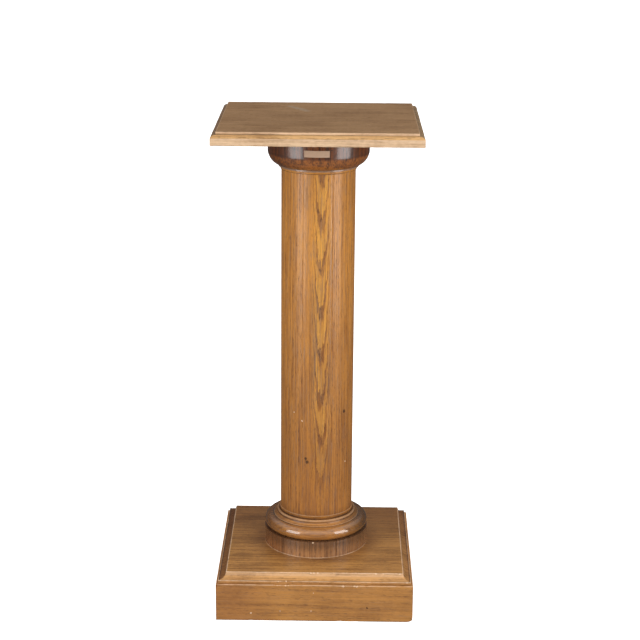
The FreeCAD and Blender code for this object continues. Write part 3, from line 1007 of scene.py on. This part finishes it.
class PLINTH_OT_foot(bpy.types.Operator):
    """Adds the torus and the cavetto and fillet above it"""

    bl_idname = "plinth.foot"
    bl_label = "Torus and foot fillet"

    def execute(self, context):
        sizes = context.scene.plinth_turnings
        finish = context.scene.plinth_finish
        low, high = TORUS
        centre = TORUS_RADIUS - sizes.torus_tube
        middle = (low.z + high.z) / 2
        outline = [(BORE, low.z), (centre, low.z)]
        facets = 22
        for i in range(1, facets + 1):
            angle = -math.pi / 2 + math.pi * i / facets
            outline.append((centre + sizes.torus_tube * math.cos(angle),
                            middle + sizes.torus_tube * math.sin(angle)))
        outline.append((BORE, high.z))
        bm = turn_outline(outline, sizes.turns)
        # Painted shade on the left and right sides of the torus and the fillet
        sides = [((0.44, 0.42, 0.46), ("x", (-0.03, -0.085))),
                 ((0.25, 0.26, 0.34), ("x", (0.03, 0.085)))]
        look = Look(finish.foot_pale, finish.foot_deep, finish.gloss - 0.06, contrast=0.12,
                    streaks=0.6, pores=0.35, patina=0.8, reach=round_reach,
                    # Painted shade and dirt in the corner where the torus meets the step
                    quirks=[(STEP_RADIUS + 0.0008, high.z, 0.0002, 0.0016)],
                    tints_and_shading=sides, seed=8.4, coat=1.0)
        material = oak("torus_oak", lengthways, straight(0.012, 0.02), look)
        add_piece("torus_turning", bm, material, "foot_oak", "torus_ring")

        low, high = FOOT
        step_top = low.z + sizes.step_height
        foot = (STEP_RADIUS, step_top)
        head = (sizes.foot_fillet_radius, step_top + sizes.cavetto)
        outline = [(BORE, low.z), (STEP_RADIUS, low.z), foot] + quarter(foot, head, False, 8)
        outline += [(sizes.foot_fillet_radius, high.z), (BORE, high.z)]
        bm = turn_outline(outline, sizes.turns)
        soften(bm, sizes.arris * 0.8)
        look = Look(finish.foot_pale, finish.foot_deep, finish.satin, contrast=0.12,
                    streaks=0.6, pores=0.3, patina=0.6, reach=round_reach, tints_and_shading=sides,
                    edges=[(sizes.foot_fillet_radius, high.z - 0.0008, 0.0009, 0.0021),
                           (foot[0], foot[1], 0.0002, 0.0009)], wear=0.3, patchy=0.3,
                    # Painted shade and dirt in the cavetto and where the foot band sits
                    quirks=[(head[0] - 0.0004, head[1] - 0.0012, 0.0002, 0.0022),
                            (BAND_RADIUS, high.z, 0.0003, 0.0017)], seed=3.3, coat=0.25)
        material = oak("foot_fillet_oak", lengthways, straight(0.009, 0.02), look)
        add_piece("foot_fillet_turning", bm, material, "foot_oak", "foot_fillet")
        return {"FINISHED"}


def stave_angle(index):
    """Direction of the middle of a stave; the first faces the front."""
    return -math.pi / 2 + index * FULL_TURN / STAVES


def stave_mesh(index, radius, low_z, high_z, inner, arc_cuts, arris):
    """One stave: a round outer face between two glue faces, with an inner edge."""
    half = FULL_TURN / STAVES / 2
    start = stave_angle(index) - half
    bm = bmesh.new()
    first = bm.verts.new((radius * math.cos(start), radius * math.sin(start), low_z))
    bmesh.ops.spin(bm, geom=[first], cent=CENTRE, axis=UP, angle=2 * half, steps=arc_cuts)
    outer = list(bm.verts)
    back = [bm.verts.new((*point, low_z)) for point in inner(start + 2 * half, start)]
    face = bm.faces.new(outer + back)
    raise_face(bm, face, high_z - low_z)
    bmesh.ops.recalc_face_normals(bm, faces=bm.faces)
    long_edges = [e for e in bm.edges
                  if abs(e.verts[0].co.z - e.verts[1].co.z) > 1e-4
                  and e.verts[0].co.xy.length > radius - 1e-5
                  and e.calc_face_angle(0.0) > math.radians(45)]
    bmesh.ops.bevel(bm, geom=long_edges, offset=arris, affect="EDGES", segments=2,
                    profile=0.5, material=-1, clamp_overlap=True)
    return bm


class PLINTH_OT_shaft(bpy.types.Operator):
    """Adds the eight staves of the shaft"""

    bl_idname = "plinth.shaft"
    bl_label = "Shaft staves"

    def execute(self, context):
        sizes = context.scene.plinth_turnings
        finish = context.scene.plinth_finish
        low, high = SHAFT
        apothem = SHAFT_RADIUS - sizes.stave_thickness
        corner = apothem / math.cos(math.pi / STAVES)
        specks = [(-0.0351, -0.0451, 0.3055, 0.0011), (-0.0224, -0.0526, 0.2934, 0.0015),
                  (0.0456, -0.0345, 0.221, 0.0013)]
        stains = [(-0.0142, -0.0554, 0.2264, 0.003), (-0.0165, -0.0547, 0.232, 0.0024),
                  (0.0431, -0.0376, 0.3055, 0.003)]

        def inner(end, start):
            return [(corner * math.cos(a), corner * math.sin(a)) for a in (end, start)]

        for i in range(STAVES):
            bm = stave_mesh(i, SHAFT_RADIUS, low.z, high.z, inner, sizes.arc_cuts,
                            sizes.stave_arris)
            slice_mesh(bm, Z, low.z, high.z, STAVE_CELL)
            look = Look(finish.shaft_pale, finish.shaft_deep, finish.satin - 0.06,
                        contrast=0.22, streaks=0.85, pores=0.38, patina=0.6,
                        reach=round_reach, ash=0.6, seed=3.1 * i + 0.4, marks=specks,
                        stains=stains,
                        # Painted shade: the shaft darker towards its foot, and darker again
                        # just above the foot band
                        tints_and_shading=[((0.72, 0.69, 0.74), ("z", (0.64, 0.14))),
                               ((0.75, 0.72, 0.70), ("z", (0.150, 0.134)))],
                        # Painted shade and dirt where the shaft meets the foot band
                        quirks=[(BAND_RADIUS, BAND[1].z + 0.0008, 0.0001, 0.0012)])
            figure = straight(0.0052, 0.004)
            if i == 0:      # the front stave shows the flame figure
                look.bright = finish.flame_bright
                look.dark = finish.flame_dark
                look.contrast = 0.72
                look.turn = 0.52
                look.streaks = 0.7
                look.pores = 0.55
                look.seed = 0.0
                look.ragged = 0.75
                # Painted shade: the flame stave darker again towards its foot
                look.tints_and_shading = look.tints_and_shading + [((0.88, 0.86, 0.90), ("z", (0.35, 0.16)))]
                figure = flame(0.0092, -0.0076, 0.0702, 0.0100, 2.4, -0.0086, (0.15, 0.26))
            material = oak("shaft_oak_%d" % (i + 1), upright(stave_angle(i)), figure, look)
            add_piece("shaft_slat_%d" % (i + 1), bm, material, "shaft_oak",
                      "shaft_stave_%d" % (i + 1))
        return {"FINISHED"}


class PLINTH_OT_drum(bpy.types.Operator):
    """Adds the eight short staves of the drum"""

    bl_idname = "plinth.drum"
    bl_label = "Drum staves"

    def execute(self, context):
        sizes = context.scene.plinth_turnings
        finish = context.scene.plinth_finish
        low, high = DRUM
        chip = [(-0.0035, -DRUM_RADIUS, high.z, 0.0016)]

        def inner(end, start):
            angles = [end + (start - end) * k / sizes.arc_cuts
                      for k in range(sizes.arc_cuts + 1)]
            return [(BORE * math.cos(a), BORE * math.sin(a)) for a in angles]

        for i in range(STAVES):
            bm = stave_mesh(i, DRUM_RADIUS, low.z, high.z, inner, sizes.arc_cuts,
                            sizes.stave_arris)
            look = Look(finish.drum_pale, finish.drum_deep, finish.gloss + 0.05,
                        contrast=0.25, streaks=0.8, pores=0.45, patina=0.9, coat=0.6,
                        reach=round_reach, marks=chip, wear=0.7, patchy=0.5,
                        edges=[(DRUM_RADIUS, low.z, 0.0003, 0.0015)],
                        # Painted shadow of the torus, darker towards the top; painted shade on
                        # the left and right sides
                        tints_and_shading=[((0.50, 0.50, 0.56),
                                ("z", (low.z + 0.004, high.z - 0.004))),
                               ((0.72, 0.62, 0.58), ("x", (-0.03, -0.07))),
                               ((0.76, 0.76, 0.80), ("x", (0.03, 0.07)))],
                        seed=1.9 * i + 6.0)
            material = oak("drum_oak_%d" % (i + 1), upright(stave_angle(i)),
                           straight(0.006, 0.01), look)
            add_piece("drum_slat_%d" % (i + 1), bm, material, "foot_oak",
                      "drum_stave_%d" % (i + 1))
        return {"FINISHED"}


class PLINTH_OT_label(bpy.types.Operator):
    """Adds the blank paper label on the front of the capital"""

    bl_idname = "plinth.label"
    bl_label = "Blank label"

    def execute(self, context):
        sizes = context.scene.plinth_turnings
        finish = context.scene.plinth_finish
        low, high = LABEL
        radius = CAPITAL_RADIUS + GLUE_GAP
        start = math.atan2(-math.sqrt(radius ** 2 - low.x ** 2), low.x)
        end = math.atan2(-math.sqrt(radius ** 2 - high.x ** 2), high.x)
        bm = bmesh.new()
        levels = 10
        columns = 36
        column = [bm.verts.new((radius * math.cos(start), radius * math.sin(start),
                                low.z + (high.z - low.z) * i / levels))
                  for i in range(levels + 1)]
        edges = [bm.edges.new(pair) for pair in zip(column, column[1:])]
        bmesh.ops.spin(bm, geom=column + edges, cent=CENTRE, axis=UP, angle=end - start,
                       steps=columns)
        bmesh.ops.recalc_face_normals(bm, faces=bm.faces)
        bmesh.ops.solidify(bm, geom=bm.faces[:], thickness=-sizes.label_thickness)
        bmesh.ops.recalc_face_normals(bm, faces=bm.faces)
        recipe = Recipe(bpy.data.materials.new("label_paper"))
        pulp = recipe.cloud(recipe.place, 900.0, 4.0, 0.7)
        foxing = recipe.cloud(recipe.place, 160.0, 3.0)
        rim = (abs(recipe.z - (low.z + high.z) / 2) / ((high.z - low.z) / 2)).rise(0.8, 1.0)
        sheet = recipe.mix((foxing - 0.35).larger(0.0) * 0.8, finish.paper,
                           [c * 0.7 for c in finish.paper])
        sheet = recipe.mix(rim * 0.25 + (pulp - 0.5) * 0.3, sheet,
                           [c * 0.6 for c in finish.paper])
        material = recipe.finish(sheet, 0.8, pulp, 0.00005)
        add_piece("label_slip", bm, material, "label_paper", "blank_label")
        return {"FINISHED"}


# ---- Hidden wood and steel ------------------------------------------------------------

class PLINTH_OT_underframe(bpy.types.Operator):
    """Finishes the blocks, bearer, plugs, dowels, rod and screws of the frame"""

    bl_idname = "plinth.underframe"
    bl_label = "Underframe and fastenings"

    def execute(self, context):
        finish = context.scene.plinth_finish
        pine_deep = [c * 0.7 for c in finish.pine]

        def bare_wood(name, grain, seed):
            look = Look(finish.pine, pine_deep, 0.75, contrast=0.5, streaks=0.5, pores=0.1,
                        patina=0.4, seed=seed, coat=0.0)
            return oak(name, grain, straight(0.005, 0.01), look)

        dress(bare_wood("bearer_pine", crossways, 1.0), "base_bearer")
        dress(bare_wood("block_pine", upright(0.0), 2.0), "corner_block_front_left",
              "corner_block_front_right", "corner_block_back_left",
              "corner_block_back_right")
        dress(bare_wood("plug_pine", lengthways, 3.0), "upper_plug", "lower_plug")
        dress(bare_wood("dowel_beech", upright(0.0), 4.0), "top_dowels")
        recipe = Recipe(bpy.data.materials.new("mild_steel"))
        brushed = recipe.cloud(recipe.place, 400.0, 4.0, 0.6)
        rust = recipe.cloud(recipe.place, 60.0, 5.0, 0.6).rise(0.52, 0.68)
        metal = recipe.mix(rust * 0.7, finish.steel, (0.16, 0.07, 0.03))
        material = recipe.finish(metal, 0.38 + brushed * 0.2 + rust * 0.25, brushed,
                                 0.00005, metallic=1.0)
        dress(material, "tie_rod", "rod_nuts", "rod_washers", "drum_screws",
              "bearer_screws")
        return {"FINISHED"}


# ---- Stage ----------------------------------------------------------------------------

def add_softbox(name, stage, angle, power):
    """Upright area light, round from the front by angle and turned to the plinth."""
    light = bpy.data.lights.new(name, "AREA")
    light.shape = "RECTANGLE"
    light.size = stage.box_width
    light.size_y = stage.box_height
    light.energy = power
    lamp = bpy.data.objects.new(name, light)
    place = Vector((math.sin(angle), -math.cos(angle), 0)) * stage.box_distance
    lamp.rotation_euler = (-place).to_track_quat("-Z", "Y").to_euler()
    place.z = stage.box_level
    lamp.location = place
    bpy.context.scene.collection.objects.link(lamp)


class PLINTH_OT_stage(bpy.types.Operator):
    """Adds the floor, the softboxes, the studio's own light and the camera"""

    bl_idname = "plinth.stage"
    bl_label = "Stage"

    def execute(self, context):
        stage = context.scene.plinth_stage
        bm = bmesh.new()
        half_width = 30.0
        bmesh.ops.create_grid(bm, x_segments=1, y_segments=1, size=half_width)
        mesh = bpy.data.meshes.new("floor")
        bm.to_mesh(mesh)
        bm.free()
        floor = bpy.data.objects.new("floor", mesh)
        context.scene.collection.objects.link(floor)
        floor.visible_diffuse = False
        floor.visible_glossy = False
        recipe = Recipe(bpy.data.materials.new("floor_paper"))
        grain = recipe.cloud(recipe.place, 600.0, 3.0)
        tint = recipe.mix(grain * 0.04, stage.floor_colour, (0.8, 0.8, 0.8))
        mesh.materials.append(recipe.finish(tint, 0.9, emission_color=(1, 1, 1, 1),
                                            emission_strength=stage.floor_glow))

        recipe = Recipe(bpy.data.worlds.new("studio"), "Generated")
        front = recipe.y.rise(-0.25, -0.85) * recipe.z.rise(-0.05, 0.25)
        below = recipe.z.rise(0.05, -0.35) * recipe.y.rise(0.55, -0.3)
        light = (stage.ambient + below * stage.bounce
                 + front * stage.front + recipe.z.rise(0.3, 0.9) * stage.overhead)
        sky = recipe.node("ShaderNodeBackground", None,
                          {"Color": (1, 1, 1, 1), "Strength": light})
        recipe.node("ShaderNodeOutputWorld", None, {"Surface": sky})
        context.scene.world = recipe.owner
        add_softbox("softbox_left", stage, stage.left_angle, stage.left_power)
        add_softbox("softbox_right", stage, stage.right_angle, stage.right_power)

        camera = bpy.data.cameras.new("camera")
        camera.sensor_width = SENSOR_WIDTH
        camera.lens = stage.lens
        eye = bpy.data.objects.new("camera", camera)
        forward = Vector((math.sin(stage.heading) * math.cos(stage.tilt),
                          math.cos(stage.heading) * math.cos(stage.tilt),
                          -math.sin(stage.tilt)))
        right = forward.cross(UP).normalized()
        above = right.cross(forward)
        lean = Matrix.Rotation(stage.roll, 3, -forward)
        turned = Matrix((lean @ right, lean @ above, -forward)).transposed()
        eye.matrix_world = Matrix.Translation(stage.eye) @ turned.to_4x4()
        context.scene.collection.objects.link(eye)
        context.scene.camera = eye
        context.scene.view_settings.view_transform = "Standard"
        return {"FINISHED"}


class PLINTH_PT_panel(bpy.types.Panel):
    """Lists the plinth's pieces and settings in the sidebar"""

    bl_idname = "PLINTH_PT_panel"
    bl_label = "Display plinth"
    bl_space_type = "VIEW_3D"
    bl_region_type = "UI"
    bl_category = "Plinth"

    def draw(self, context):
        for operator in OPERATORS:
            self.layout.operator(operator.bl_idname)
        for group_name in GROUPS:
            group = getattr(context.scene, group_name)
            box = self.layout.box()
            for name in group.bl_rna.properties.keys():
                if name not in ("rna_type", "name"):
                    box.prop(group, name)


GROUPS = {"plinth_boards": PlinthBoardSizes, "plinth_turnings": PlinthTurningSizes,
          "plinth_finish": PlinthFinish, "plinth_stage": PlinthStage}
OPERATORS = (PLINTH_OT_top, PLINTH_OT_capital, PLINTH_OT_label, PLINTH_OT_bands,
             PLINTH_OT_shaft, PLINTH_OT_foot, PLINTH_OT_drum, PLINTH_OT_base, PLINTH_OT_box,
             PLINTH_OT_underframe, PLINTH_OT_stage)


def register():
    for name, group in GROUPS.items():
        bpy.utils.register_class(group)
        setattr(bpy.types.Scene, name, PointerProperty(type=group))
    for operator in OPERATORS:
        bpy.utils.register_class(operator)
    bpy.utils.register_class(PLINTH_PT_panel)


def unregister():
    bpy.utils.unregister_class(PLINTH_PT_panel)
    for operator in reversed(OPERATORS):
        bpy.utils.unregister_class(operator)
    for name, group in GROUPS.items():
        delattr(bpy.types.Scene, name)
        bpy.utils.unregister_class(group)


def main():
    register()
    bpy.ops.plinth.top()
    bpy.ops.plinth.capital()
    bpy.ops.plinth.label()
    bpy.ops.plinth.bands()
    bpy.ops.plinth.shaft()
    bpy.ops.plinth.foot()
    bpy.ops.plinth.drum()
    bpy.ops.plinth.base()
    bpy.ops.plinth.box()
    bpy.ops.plinth.underframe()
    bpy.ops.plinth.stage()


if __name__ == "__main__":
    main()
